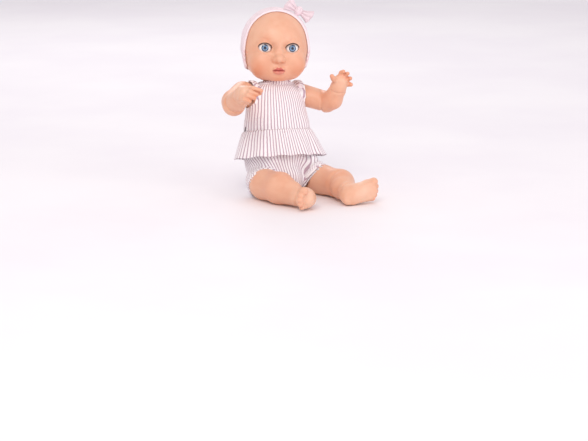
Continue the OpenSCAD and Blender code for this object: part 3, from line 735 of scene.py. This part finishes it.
def tube(path, radii, sides):
    """Points and faces of a closed round strand along a path."""
    heading = np.gradient(path, axis=0)
    heading /= length(heading)[:, None]
    side = np.cross(heading[0], (0, 0, 1) if abs(heading[0][2]) < 0.9 else (1, 0, 0))
    points = []
    for centre, h, r in zip(path, heading, radii):
        side = side - h * (side @ h)
        side /= np.linalg.norm(side)
        up = np.cross(h, side)
        for a in (2 * math.pi * j / sides for j in range(sides)):
            points.append(centre + r * (math.cos(a) * side + math.sin(a) * up))
    start, end = np.arange(sides)[::-1], np.arange(sides) + (len(path) - 1) * sides
    return np.array(points), [*grid_faces(len(path), sides), start, end]


def lash_line(name, side):
    """The dark painted rim of the upper lid."""
    along = np.linspace(0.02, 1, 40)
    a = math.pi * (1 - along)
    x = EYE[0] + 0.1 + 8.8 * np.cos(a)
    z = EYE[2] - 0.3 + 6.1 * np.maximum(np.sin(a), 0) ** 1.08 + 0.06 * (x - EYE[0])
    y = [front(closed_face, *spot) for spot in zip(x, z + 0.4)]
    y = np.convolve(np.pad(y, 3, "edge"), np.ones(7) / 7, "valid")
    radii = 0.14 + 0.6 * np.sin(along * math.pi) ** 0.6
    points, faces = tube(np.column_stack([x, y, z]), radii, 8)
    faces = [face[::side] for face in faces]  # mirrored faces turn round
    made = build(name, points * (side, 1, 1), faces, HEAD, lash.material)
    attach(made, "head")


lash_line("left_lash_line", 1)
lash_line("right_lash_line", -1)

# ---- cloth materials
#
# Cloth stores millimetres on its points: cloth_s across its stripes or ribs, cloth_t along them.

STRIPE_PITCH = 4.5
RIB_PITCH, LOOP_PITCH = 1.5, 1.1  # of the knit

# White puckered cotton with dusty mauve stripes
cotton = Shader("striped_seersucker", 0.82, Sheen_Weight=0.25, Sheen_Roughness=0.6)
s, t = cotton.value("cloth_s"), cotton.value("cloth_t")
wander = cotton.calc("MULTIPLY", cotton.calc("SUBTRACT", cotton.noise(90, 2), 0.5), 0.9)
place = cotton.calc("FRACT", cotton.calc("DIVIDE", cotton.calc("ADD", s, wander), STRIPE_PITCH))
off_centre = cotton.calc("ABSOLUTE", cotton.calc("SUBTRACT", place, 0.5))
stripe = cotton.spread(off_centre, 0.12, 0.21, 1.0, 0.0)
weave = cotton.noise_over(cotton.calc("MULTIPLY", s, 3.0), cotton.calc("MULTIPLY", t, 3.0), 1.6, 3.0)
white = cotton.mix(cotton.spread(weave, 0.3, 0.7), "#f6eff0", "#fffcfb")
mauve = cotton.mix(cotton.spread(weave, 0.3, 0.7), "#b496a5", "#c9adb9")
cotton.set("Base Color", cotton.mix(stripe, white, mauve))
pucker = cotton.noise_over(
    cotton.calc("DIVIDE", s, STRIPE_PITCH), cotton.calc("MULTIPLY", t, 0.55), 1.3, 2.0
)
height = cotton.calc("MULTIPLY", pucker, cotton.calc("SUBTRACT", 1.15, stripe))
height = cotton.calc("ADD", height, cotton.calc("MULTIPLY", weave, 0.25))
cotton.bump(height, 0.0006, 0.8)
STRIPED = cotton.material

knit = Shader("band_knit", 0.9, Sheen_Weight=0.4, Sheen_Roughness=0.5)
rib = knit.calc("SINE", knit.calc("MULTIPLY", knit.value("cloth_s"), 2 * math.pi / RIB_PITCH))
loop = knit.calc("SINE", knit.calc("MULTIPLY", knit.value("cloth_t"), 2 * math.pi / LOOP_PITCH))
knit_height = knit.calc("ADD", rib, knit.calc("MULTIPLY", loop, 0.35))
# The knit's colour is darker in its grooves and lighter on its ribs: painted shade and light on the
# relief.
knit.set("Base Color", knit.mix(knit.spread(knit_height, -1.2, 1.0), "#f4d5dc", "#fdf0f3"))
knit.bump(knit.calc("ADD", knit_height, knit.noise(900, 2)), 0.00022, 0.8)
KNIT = knit.material

# ---- romper

# The torso's outline: height, half width and half depth
SECTIONS = np.array(
    [(15, 33, 26), (28, 39, 32), (48, 40.5, 34.5), (70, 39.5, 33.5), (96, 38, 30), (112, 38, 28),
     (126, 36, 24), (133, 30, 20.5), (137, 23, 17.5)]
).T
BACK_FLAT = 27  # y of the flat part of the back
WAIST = 78
GIRTH_R = 40  # turns an angle round the body into millimetres of cloth


def torso_distance(t):
    """About how far a point in the torso's frame is outside the torso's side."""
    half_w, half_d = (np.interp(t[:, 2], SECTIONS[0], halves) for halves in SECTIONS[1:])
    r = length(t[:, :2])
    k = np.maximum(np.sqrt((t[:, 0] / half_w) ** 2 + (t[:, 1] / half_d) ** 2), 1e-6)
    slope = np.interp(t[:, 2], (112, 126, 133, 137), (1, 0.9, 0.72, 0.6))
    return meet((r - r / k) * slope, t[:, 1] - BACK_FLAT, 2)


def cloth_around(t):
    """Millimetres round the body from its front, for upright stripes."""
    return GIRTH_R * np.arctan2(t[:, 0], -t[:, 1])


def looseness(t):
    """How much further out the bodice hangs than a close fit, down at the sides."""
    return 3.2 * (1 - rise(t[:, 2], 84, 112)) * rise(np.abs(t[:, 0]), 8, 34)


def bodice_field(t):
    """The romper's top, with its neck, armholes, shoulder ruffles and back seam."""
    d = torso_distance(t)
    out = np.abs(t[:, 0])
    from_axis = t[:, 1:] - (0, SHOULDER_Z)
    arm = length(from_axis)
    neck = length(t[:, :2] - (0, -1.5))
    cap = both(d - looseness(t), t[:, 2] - 137.4)
    rolled = 0.35 * dome(neck - 20.2, 1.3) * (t[:, 2] > 125)
    f = both(cap - 1.75 - rolled, 0.45 - cap)
    around = np.arctan2(from_axis[:, 1], from_axis[:, 0])
    gather = np.where(t[:, 0] < 0, 0.6, 0.15) * np.sin(17 * around)
    flare = np.where(t[:, 0] < 0, 17.8, 17.5) - 3.1 * (1 - rise(out, 24, 30))
    flare = flare + gather * rise(out, 30, 35)
    cuff = meet(np.abs(arm - flare) - 0.8, both(25 - out, out - 35.4 - gather), 0.5)
    f = join(f, both(cuff, 0.45 - d), 1.0)
    f = meet(f, WAIST - 3 - t[:, 2], 0.8)
    f = meet(f, 19.6 - neck, 0.8)
    f = f + 0.5 * dome(t[:, 0] - 3, 0.6) * (t[:, 1] > 15)
    return cut(cut(f, both(arm - 16.1, 28 - out)), both(arm - 12.6, 20 - out))


def cloth_piece(name, points, faces, place, material, body, replaced, s, t, area):
    """A sheet of cloth, attached to its body if it has one; `area`, its cut size, is not used."""
    made = build(name, points, faces, place, material)
    record_value(made, "cloth_s", s)
    record_value(made, "cloth_t", t)
    if body:
        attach(made, body)
    if replaced:
        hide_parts(*replaced)
    return made


def half_area(points, faces):
    """Half a closed quad mesh's surface, in square metres: the cloth's own area."""
    a, b, c, d = (points[faces[:, i]] for i in range(4))
    return float(length(np.cross(c - a, d - b)).sum()) / 4 * MM * MM


points, faces = surface(bodice_field, (-44, -42, 72), (44, 36, 145), CLOTH_STEP, 1)
cloth_piece(
    "romper_bodice_cloth", points, faces, TORSO, STRIPED, "torso", ["romper_bodice"],
    cloth_around(points), points[:, 2], min(half_area(points, faces), 0.0206),
)


def thicken(made, thickness):
    """Gives an open sheet its thickness, half to each side."""
    modifier = made.modifiers.new("thickness", "SOLIDIFY")
    modifier.thickness, modifier.offset = thickness * MM, 0.0


def circle(count, u, w):
    """Angles of a full turn, and the directions they point in across the plane of u and w."""
    a = np.linspace(0, 2 * math.pi, count, endpoint=False)
    return a, np.cos(a)[:, None] * u + np.sin(a)[:, None] * w


def leaves(field, middle, ring, low, high):
    """How far from the middle each ray of the ring leaves the field's inside."""
    low, high = np.full(len(ring), low), np.full(len(ring), high)
    for _ in range(26):
        mid = (low + high) / 2
        out = field(middle + ring * mid[:, None]) > 0
        low, high = np.where(out, low, mid), np.where(out, mid, high)
    return low


def peplum(drop, hem_r, folds, seed):
    """A gathered skirt sewn round the waist: close folds at the top, wider ones at the hem."""
    rng = np.random.default_rng(seed)
    around, rows = 420, 34
    a, ring = circle(around, (1, 0, 0), (0, 1, 0))
    phases = rng.uniform(0, 6.3, 3)
    waist = leaves(lambda t: torso_distance(t) - looseness(t) - 2.4, (0, 0, WAIST), ring, 20.0, 60.0)
    hem = 1 / np.sqrt((ring[:, 0] / hem_r[0]) ** 2 + (ring[:, 1] / hem_r[1]) ** 2)
    points, s, t = [], [], []
    for i in range(rows):
        u = i / (rows - 1)
        fold = 0.5 * np.sin(folds * 3 * a + phases[0]) * (1 - u) ** 2 * min(1, 5 * u + 0.15)
        wide = np.sin(folds * a + phases[1] + 0.7 * np.sin(2 * a))
        fold = fold + 1.7 * u**1.2 * (wide + 0.45 * np.sin((folds + 4) * a + phases[2]))
        seams = 0.45 * dome(u - 0.96, 0.03) + 0.4 * dome(u - 0.06, 0.03)
        z = WAIST - drop * u + 0.6 * u * np.sin(folds * a + phases[1] + 1.2)
        r = waist + (hem - waist) * u**0.8 + fold + float(seams)
        points.append(np.column_stack([r * ring[:, 0] + 2.5 * u, r * ring[:, 1], z]))
        s.append(a * 54)  # the hem's mean radius
        t.append(np.full(around, drop * u))
    return np.concatenate(points), grid_faces(rows, around), np.concatenate(s), np.concatenate(t)


points, faces, s, t = peplum(drop=34, hem_r=(61, 45), folds=11, seed=4)
peplum_cloth = cloth_piece(
    "romper_peplum_cloth", points, faces, TORSO, STRIPED, "torso", ["romper_peplum"],
    s, t, None,
)
thicken(peplum_cloth, 0.8)


def frill(
    name, middle, u, w, way, inner, outer, turns, tuck, show, place, flat, body, rests, swell=1.0
):
    """A narrow gathered edge round an opening in the plane of u and w, tucked in and then free."""
    around, rows = 264, 15
    a, ring = circle(around, u, w)
    inner, outer = np.broadcast_to(inner, a.shape), np.broadcast_to(outer, a.shape)
    points, s, t = [], [], []
    for i in range(rows):
        along = -tuck + (tuck + show) * i / (rows - 1)
        k = max(along, 0) / show
        wave = (0.15 + 0.8 * k) * swell * np.sin(turns * a + 0.6 * np.sin(3 * a))
        out = inner + (outer - inner) * float(rise(np.array(along), -0.8, show)) + wave * (along > -1.5)
        points.append(middle + ring * out[:, None] + np.asarray(way) * along)
        s.append(a * length(points[-1] - middle).mean() * 1.25)
        t.append(np.full(around, along))
    made = cloth_piece(
        name, np.concatenate(points), grid_faces(rows, around), place, STRIPED, body, None,
        np.concatenate(s), np.concatenate(t), None,
    )
    thicken(made, 0.7)
    return made


frill(
    "neck_frill", (0, -1.5, 137.2), *np.eye(3), inner=20.2, outer=19.8, turns=30, tuck=6.4, show=4.2,
    place=TORSO, flat=(0.15, 0.0108), body="torso", rests=["romper_bodice_cloth"],
)

# ---- bloomers

# The planes of the leg openings: a direction down the leg, and how far along it the plane is
RIGHT_CUT = (np.array([-0.074, -0.765, -0.637]), 10.3)
LEFT_CUT = (np.array([0.457, -0.640, -0.617]), 17.8)


def bloomer_bag(p):
    """Outside of the bloomers before their leg openings."""
    t = TORSO.into(p)
    puff = 3.2 + 1.3 * dome(t[:, 2] - 42, 22)
    f = both(torso_distance(t) - puff, t[:, 2] - 75)
    f = join(f, egg(p, (1, -20, 20), (17, 17.5, 18)), 7)
    f = join(f, egg(p, (0, 2, 16), (38, 30, 22)), 8)
    f = join(f, egg(p, (31, -10, 36), (15, 17, 16)), 7)
    for line, far in ((RIGHT_LEG, (-37, -29, 19.2)), (LEFT_LEG, (40.5, -31, 18.8))):
        f = join(f, cone(p, line[0][:3], far, 21.2, 21.0), 4)
    gathers = 0.55 * waves(p * (1, 1, 0.3), 6.5, 21) + 0.5 * waves(p * (1, 1, 0.6), 15, 22)
    f = f + gathers * rise(p[:, 2], 1, 9)
    return meet(f, 0.25 - p[:, 2], 3)


def off_leg(p, side):
    """Distance to the bare thigh."""
    return bone(p, *(LEFT_LEG if side > 0 else RIGHT_LEG)[:2])


def opening(p, side):
    """Positive where the cloth leaves the leg bare."""
    way, reach = LEFT_CUT if side > 0 else RIGHT_CUT
    return np.minimum(p @ way - reach, 4.5 - off_leg(p, side))


def bloomer_field(side):
    """One half of the bloomers, up to the seam down the middle."""

    def field(p):
        bag = bloomer_bag(p)
        edge = np.where(p[:, 0] > 1, opening(p, 1), opening(p, -1))
        hem = 0.5 * dome(edge + 2.2, 1.2)
        f = meet(cut(bag - hem, bag + 1.5), edge, 0.8)
        return both(f, -side * (p[:, 0] - 1 - 0.04 * p[:, 2]) - 0.12)

    return field


def bloomer_stripes(p):
    """Millimetres across the stripes, which spread over the thighs."""
    t = TORSO.into(p)
    turn = np.clip(np.arctan2(t[:, 0], -t[:, 1]), -math.pi / 2, math.pi / 2)
    return cloth_around(t) + GIRTH_R * (1 - rise(p[:, 2], 5, 58)) * np.sin(turn)


def cloth_blend(made):
    """Bakes the cloth's placement into its points."""
    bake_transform(made)


def leg_frill(side):
    """The small gathered edge round a leg opening."""
    way, reach = LEFT_CUT if side > 0 else RIGHT_CUT
    line = LEFT_LEG if side > 0 else RIGHT_LEG
    middle = np.array(line[0][:3]) + 0.75 * (np.array(line[1][:3]) - line[0][:3])
    middle = middle - way * (middle @ way - reach)
    u = np.cross(way, (0, 0, 1))
    u /= np.linalg.norm(u)
    w = np.cross(way, u)
    _, ring = circle(264, u, w)
    edge = leaves(lambda p: both(bloomer_bag(p) + 0.8, off_leg(p, side) - 3), middle, ring, 8.0, 44.0)
    edge = np.convolve(np.pad(edge, 6, "wrap"), np.ones(13) / 13, "valid")
    name = "left" if side > 0 else "right"
    made = frill(
        name + "_leg_frill", middle, u, w, way, inner=edge - 1.4, outer=edge + 0.8, turns=26, tuck=7.6,
        show=2.8, place=DOLL, flat=(0.17, 0.0104), body=None, rests=[name + "_bloomer_cloth"],
        swell=0.8,
    )
    for vertex in made.data.vertices:
        vertex.co.z = max(vertex.co.z, 0.7 * MM)  # it lies on the floor
    cloth_blend(made)


for side, name, nodes in (
    (-1, "right_bloomer_cloth", ["romper_bloomers", "right_bloomer_leg"]),
    (1, "left_bloomer_cloth", ["left_bloomer_leg"]),
):
    low = (-2, -50, -1) if side > 0 else (-60, -50, -1)
    high = (62, 60, 86) if side > 0 else (6, 60, 86)
    points, faces = surface(bloomer_field(side), low, high, CLOTH_STEP, 1)
    made = cloth_piece(
        name, points, faces, DOLL, STRIPED, None, nodes, bloomer_stripes(points), points[:, 2],
        min(half_area(points, faces), 0.01594),
    )
    cloth_blend(made)
    leg_frill(side)

# ---- headband and bow


def band_field(p):
    """A wide knitted band over the top, round the ears and under the back of the head."""
    y, z = p[:, 1], p[:, 2]
    ridge = 0.3 * waves(p * (0.25, 1, 1), 5, 31)
    shape = head_form(p)
    ears = 2.2 * dome(length(mirrored(p) - (39.5, -1, 47)), 11)
    front_edge = -13.5 + 4.5 * rise(-z, -52, -30) - y
    back_edge = (y - 15) * 0.894 + (z - 97) * 0.447
    low_edge = 31 - 0.3 * (y + 24) - z
    edge = both(front_edge, back_edge, low_edge)
    rolled = 0.7 * dome(edge + 1.6, 1.3)
    outer = shape - 2.2 - ears - ridge * rise(-edge, 1, 5) - rolled
    return meet(cut(outer, shape - 0.35), edge, 1.2)


points, faces = surface(band_field, (-50, -24, 8), (50, 54, 106), BAND_STEP, 1)
round_head = np.degrees(np.arctan2(points[:, 2] - 45, np.abs(points[:, 0])))
cloth_piece(
    "headband_knit", points, faces, HEAD, KNIT, "head", ["headband"], points[:, 1], round_head * 0.75,
    min(half_area(points, faces), 0.01154),
)


def bow_loops():
    """Two pleated loops; U goes along the strip of each and V across it."""
    points, faces, s, t = [], [], [], []
    along, across = 49, 25
    U, V = np.meshgrid(np.linspace(0, 1, along), np.linspace(-1, 1, across), indexing="ij")
    out = np.sin(math.pi * U) ** 0.75
    for side in (-1, 1):
        first = len(points) * along * across
        width = 6 + 12.5 * out**1.2
        curl = (2.6 if side < 0 else 1.2) * out**2 * V
        pleat = (0.95 - 0.5 * out) * np.cos(2.5 * math.pi * V + side) * np.minimum(1, 4 * out)
        x = side * (2.2 + 16.3 * out - 2.4 * np.abs(V) ** 3 * out**4 + curl * side * 0.6)
        y = (3.9 * np.sin(2 * math.pi * U) * (0.55 + 0.45 * np.cos(V * 1.2)) + pleat) - 0.5
        z = 6.3 + 1.4 * out + V * width / 2 + 0.8 * pleat * 0.3
        points.append(np.column_stack([x.ravel(), y.ravel(), z.ravel()]))
        faces.append(grid_faces(along, across, closed=False) + first)
        s.append((V * 10).ravel())
        t.append((U * 46).ravel())
    points = np.concatenate(points)
    made = cloth_piece(
        "bow_loops_knit", points, np.concatenate(faces), BOW, KNIT, "head", ["bow_loops"],
        np.concatenate(s), np.concatenate(t), None,
    )
    thicken(made, 0.9)


def knot_field(p):
    """A puffed knot with fine folds."""
    f = egg(p, (0, 0, 6.3), (4.9, 5.2, 6.6))
    return f + 0.3 * np.cos(p[:, 0] * 2.3 + 0.25 * p[:, 2]) * rise(p[:, 2], 0, 3)


bow_loops()
points, faces = surface(knot_field, (-6, -7, -2), (6, 7, 15), 0.5, 1)
knot = build("bow_knot_knit", points, faces, BOW, KNIT)
record_value(knot, "cloth_s", points[:, 0])
record_value(knot, "cloth_t", points[:, 2] + points[:, 1])
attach(knot, "head")
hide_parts("bow_knot")

# ---- shoulder button

BUTTON = Place(TORSO.out((25, -21, 131)), TORSO.axes @ rotation("y", 22) @ rotation("x", 50))


def button_field(p):
    """A dished button with four holes, two stitches and a thread shank."""
    x, y, z = np.abs(p[:, 0]), np.abs(p[:, 1]), p[:, 2]
    across = length(p[:, :2])
    f = meet(across - 3.3, np.abs(z - 2.9) - 0.8, 0.5)
    f = carve(f, both(across - 2.2, 3.3 - z), 0.4)
    f = cut(f, length(np.column_stack([x, y]) - 0.75) - 0.38)
    thread = both(np.abs(x - 0.75) - 0.2, y - 0.95, z - 3.7, 2.4 - z)
    return join(np.minimum(f, thread), both(across - 1.3, z - 2.6, 0.6 - z), 0.2)


points, faces = surface(button_field, (-4.2, -4.2, 0), (4.2, 4.2, 4.6), 0.22, 1)
pearl = Shader("pearl_button", 0.22, Coat_Weight=0.6)
pearl.set("Base Color", pearl.mix(pearl.spread(pearl.noise(260, 3), 0.3, 0.7), "#e9d3da", "#f9eef0"))
pearl.bump(pearl.noise(700, 2), 0.00004, 0.4)
button = build("shoulder_button", points, faces, BUTTON, pearl.material)
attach(button, "torso")
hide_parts("romper_shoulder_button")

# ---- back closure


def closure_field(t):
    """A flat tape with a row of stitches inside its edge."""
    f = both(np.abs(t[:, 0]) - 6, np.abs(t[:, 2] - 96) - 14)
    y = t[:, 1] - BACK_FLAT
    stitches = 0.25 * dome(f + 1.3, 0.35) * (np.sin((t[:, 0] + t[:, 2]) * 2.6) > 0)
    return meet(f, both(y - 3.4 + stitches, 2.1 - y), 0.5)


tape = Shader("closure_tape", 0.9, Sheen_Weight=0.3)
tape_weave = tape.noise(2600, 2)
tape.set("Base Color", tape.mix(tape.spread(tape_weave, 0.35, 0.65), "#ece4e8", "#fbf7f9"))
tape.bump(tape_weave, 0.0003, 0.7)
points, faces = surface(closure_field, (-8, 27, 80), (8, 32.5, 112), 0.6, 1)
closure = build("back_closure_tape", points, faces, TORSO, tape.material)
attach(closure, "torso")
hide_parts("romper_back_closure")

# ---- hard parts from the frame


def moulded(name, low, high, rough, coat=0.0, grain=500, depth=0.00004):
    """Moulded plastic with a faint colour drift and a fine mould texture."""
    shader = Shader(name, rough, Coat_Weight=coat)
    shader.set("Base Color", shader.mix(shader.spread(shader.noise(45, 3), 0.3, 0.7), low, high))
    shader.set("Roughness", shader.spread(shader.noise(220, 2), 0.3, 0.7, rough - 0.05, rough + 0.08))
    shader.bump(shader.noise(grain, 2), depth, 0.4)
    return shader.material


def brushed(name, low, high, rough):
    """Metal with fine scratches along one way."""
    shader = Shader(name, rough, Metallic=1.0)
    stretched = shader.node("Mapping", {"Vector": shader.where, "Scale": (1, 1, 14)})
    lines = shader.noise(700, 2, where=stretched)
    shader.set("Base Color", shader.mix(shader.spread(lines, 0.3, 0.7), low, high))
    shader.set("Roughness", shader.spread(lines, 0.3, 0.7, rough - 0.06, rough + 0.1))
    shader.bump(lines, 0.00003, 0.3)
    return shader.material


MOULDED = {
    "shell_plastic": ("#e9b795", "#efc2a3", 0.42),
    "white_plastic": ("#e9e4df", "#f4f0ec", 0.38),
    "dark_plastic": ("#1a1a1d", "#2a2a2e", 0.5),
    "button_plastic": ("#e7a9b6", "#f2bcc7", 0.3, 0.3),
    "cell_jacket": ("#2b3a4f", "#35475f", 0.25, 0.5, 900),
    "board": ("#12502f", "#1d6a41", 0.35, 0.3, 1400),
    "component": ("#a87f45", "#c9a062", 0.45, 0.0, 1200),
    "cone_paper": ("#5b4b36", "#7a6748", 0.85, 0.0, 1500, 0.0002),
    "wire_jacket": ("#7a1616", "#a32222", 0.4, 0.0, 900),
}
FINISHES = {name: moulded(name, *look) for name, look in MOULDED.items()} | {
    "eye_plastic": moulded("eye_white_plastic", "#efece8", "#f8f6f3", 0.15, 0.7),
    "steel": brushed("steel", "#8e9094", "#c4c6ca", 0.32),
    "skin_vinyl": skin.material,
    "stripe_cloth": STRIPED,
    "band_knit": KNIT,
    "tape_cloth": tape.material,
}
for part in frame["record"]["subparts"]:
    made = frame["nodes"][part["node"]]
    finish = "shell_plastic" if part["node"] == "neck_post" else part["material_slot"]
    made.data.materials.clear()
    made.data.materials.append(FINISHES[finish])
    for face in made.data.polygons:
        face.material_index = 0

# ---- floor, lights and camera

floor = Shader("studio_floor", 0.75)
floor.set("Base Color", floor.mix(floor.spread(floor.noise(3, 4), 0.3, 0.7), "#f3eff3", "#f8f5f7"))
bpy.ops.mesh.primitive_plane_add(size=9)
ground = bpy.context.object
ground.name = "floor"
ground.data.materials.append(floor.material)
ground.location = (0, 0, -0.0001)

scene = bpy.context.scene
world = bpy.data.worlds.new("studio")
world.use_nodes = True
world.node_tree.nodes["Background"].inputs["Color"].default_value = linear("#f6f2f6")
world.node_tree.nodes["Background"].inputs["Strength"].default_value = 0.85
scene.world = world
scene.view_settings.view_transform = "Standard"


def soft_light(name, position, size, watts, colour="#ffffff"):
    """A square area light aimed at the doll's middle."""
    data = bpy.data.lights.new(name, "AREA")
    data.size, data.energy = size, watts
    data.color = linear(colour)[:3]
    made = bpy.data.objects.new(name, data)
    made.location = position
    aim = Vector((0, 0, 0.1)) - Vector(position)
    made.rotation_euler = aim.to_track_quat("-Z", "Y").to_euler()
    scene.collection.objects.link(made)


soft_light("key", (-1.0, -1.3, 1.7), 0.9, 14, "#fffaf4")
soft_light("fill", (0.9, -1.8, 0.5), 1.4, 10, "#fbf6ff")
soft_light("rim", (0.4, 1.6, 1.3), 0.8, 6)

CAMERA_AT = Vector((-1.015574, -2.189006, 0.500622))
AZIMUTH, ELEVATION = math.radians(-25.26), math.radians(12.57)
camera_data = bpy.data.cameras.new("camera")
camera_data.lens, camera_data.sensor_width = 117.68, 36
camera = bpy.data.objects.new("camera", camera_data)
scene.collection.objects.link(camera)
level = math.cos(ELEVATION)
back = Vector((math.sin(AZIMUTH) * level, -math.cos(AZIMUTH) * level, math.sin(ELEVATION)))
right = Vector((math.cos(AZIMUTH), math.sin(AZIMUTH), 0))
up = back.cross(right)
stand = Matrix((right, up, back)).transposed().to_4x4()
stand.translation = CAMERA_AT
camera.matrix_world = stand
scene.camera = camera
